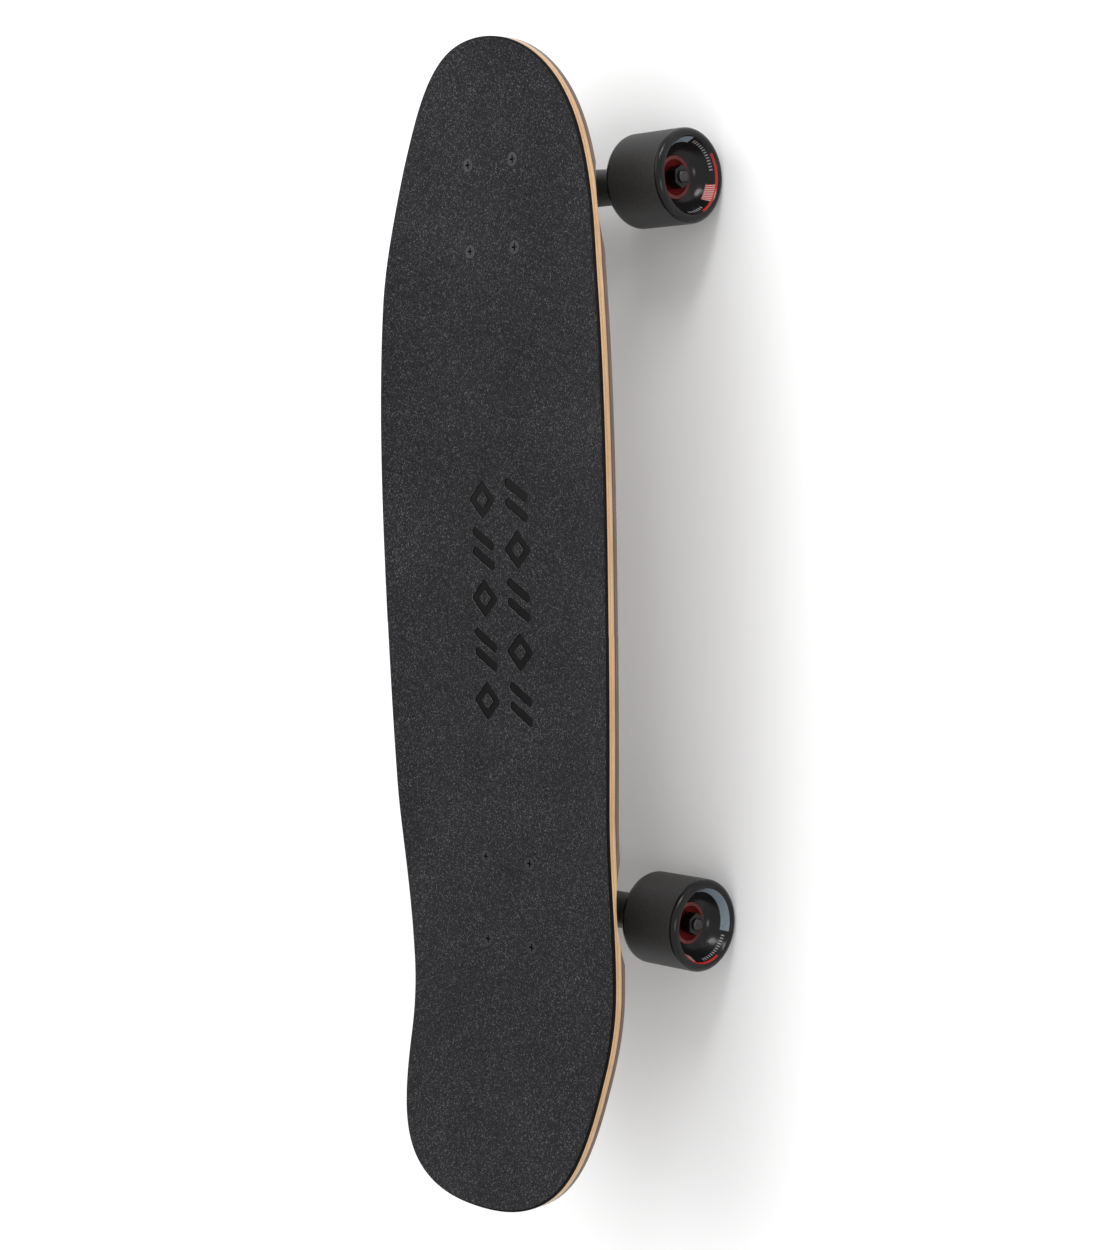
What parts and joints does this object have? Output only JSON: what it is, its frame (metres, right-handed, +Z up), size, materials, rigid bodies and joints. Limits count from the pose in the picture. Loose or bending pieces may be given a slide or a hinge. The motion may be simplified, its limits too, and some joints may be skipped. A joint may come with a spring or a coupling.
{
  "type": "skateboard",
  "caption": "Complete skateboard: pressed wood deck with grip tape, sprung kingpin trucks and cored wheels on ball bearings.",
  "frame": {"origin": "on the floor, under the middle of the deck", "axes": "+X along the board to the nose, +Y to the left rail, +Z up; the wheels stand on z = 0"},
  "size_m": [0.7366, 0.21, 0.1372],
  "materials": {
    "grip": "abrasive grit",
    "black_ply": "glossy lacquer",
    "maple": "satin lacquer",
    "dark_ply": "satin lacquer",
    "brown_ply": "satin lacquer",
    "black_screw": "black oxide",
    "zinc_steel": "zinc plated",
    "bearing_shield": "black",
    "bearing_steel": "polished",
    "riser_rubber": "matte",
    "black_casting": "matte powder coat",
    "bushing_urethane": "satin",
    "pivot_cup": "satin",
    "wheel_urethane": "satin",
    "wheel_core": "satin"
  },
  "bodies": {
    "board": {"grip_tape": "grip", "deck_ply_1": "black_ply", "deck_ply_2": "maple", "deck_ply_3": "maple", "deck_ply_4": "maple", "deck_ply_5": "maple", "deck_ply_6": "dark_ply", "deck_ply_7": "brown_ply", "deck_bolts": "black_screw", "deck_nuts": "zinc_steel", "front_riser_pad": "riser_rubber", "front_baseplate": "black_casting", "front_pivot_cup": "pivot_cup", "front_kingpin": "zinc_steel", "front_kingpin_nut": "zinc_steel", "front_bushing_washers": "zinc_steel", "front_board_side_bushing": "bushing_urethane", "front_road_side_bushing": "bushing_urethane", "rear_riser_pad": "riser_rubber", "rear_baseplate": "black_casting", "rear_pivot_cup": "pivot_cup", "rear_kingpin": "zinc_steel", "rear_kingpin_nut": "zinc_steel", "rear_bushing_washers": "zinc_steel", "rear_board_side_bushing": "bushing_urethane", "rear_road_side_bushing": "bushing_urethane"},
    "front_truck": {"front_hanger": "black_casting", "front_axle": "zinc_steel", "front_axle_nuts": "zinc_steel", "front_speed_washers": "zinc_steel", "front_bearing_spacers": "zinc_steel", "front_bearing_inner_rings": "bearing_steel"},
    "front_left_wheel": {"front_left_tyre": "wheel_urethane", "front_left_wheel_core": "wheel_core", "front_left_bearing_outer_rings": "bearing_steel", "front_left_bearing_balls": "bearing_steel", "front_left_bearing_shields": "bearing_shield"},
    "front_right_wheel": {"front_right_tyre": "wheel_urethane", "front_right_wheel_core": "wheel_core", "front_right_bearing_outer_rings": "bearing_steel", "front_right_bearing_balls": "bearing_steel", "front_right_bearing_shields": "bearing_shield"},
    "rear_truck": {"rear_hanger": "black_casting", "rear_axle": "zinc_steel", "rear_axle_nuts": "zinc_steel", "rear_speed_washers": "zinc_steel", "rear_bearing_spacers": "zinc_steel", "rear_bearing_inner_rings": "bearing_steel"},
    "rear_left_wheel": {"rear_left_tyre": "wheel_urethane", "rear_left_wheel_core": "wheel_core", "rear_left_bearing_outer_rings": "bearing_steel", "rear_left_bearing_balls": "bearing_steel", "rear_left_bearing_shields": "bearing_shield"},
    "rear_right_wheel": {"rear_right_tyre": "wheel_urethane", "rear_right_wheel_core": "wheel_core", "rear_right_bearing_outer_rings": "bearing_steel", "rear_right_bearing_balls": "bearing_steel", "rear_right_bearing_shields": "bearing_shield"}
  },
  "joints": [
    {"name": "front_steer", "type": "hinge", "parent": "board", "child": "front_truck", "pos_m": [0.2979, 0, 0.0647], "axis": [0.9097, 0, 0.4153], "range_deg": [-16, 16], "stiffness_Nm_per_rad": 60, "deforming": ["front_board_side_bushing", "front_road_side_bushing"]},
    {"name": "front_left_wheel_spin", "type": "hinge", "parent": "front_truck", "child": "front_left_wheel", "pos_m": [0.2783, 0.081, 0.0295], "axis": [0, 1, 0], "continuous": true},
    {"name": "front_right_wheel_spin", "type": "hinge", "parent": "front_truck", "child": "front_right_wheel", "pos_m": [0.2783, -0.081, 0.0295], "axis": [0, 1, 0], "continuous": true},
    {"name": "rear_steer", "type": "hinge", "parent": "board", "child": "rear_truck", "pos_m": [-0.2095, 0, 0.0647], "axis": [-0.9097, 0, 0.4153], "range_deg": [-16, 16], "stiffness_Nm_per_rad": 60, "deforming": ["rear_board_side_bushing", "rear_road_side_bushing"]},
    {"name": "rear_left_wheel_spin", "type": "hinge", "parent": "rear_truck", "child": "rear_left_wheel", "pos_m": [-0.1899, 0.081, 0.0295], "axis": [0, 1, 0], "continuous": true},
    {"name": "rear_right_wheel_spin", "type": "hinge", "parent": "rear_truck", "child": "rear_right_wheel", "pos_m": [-0.1899, -0.081, 0.0295], "axis": [0, 1, 0], "continuous": true}
  ]
}
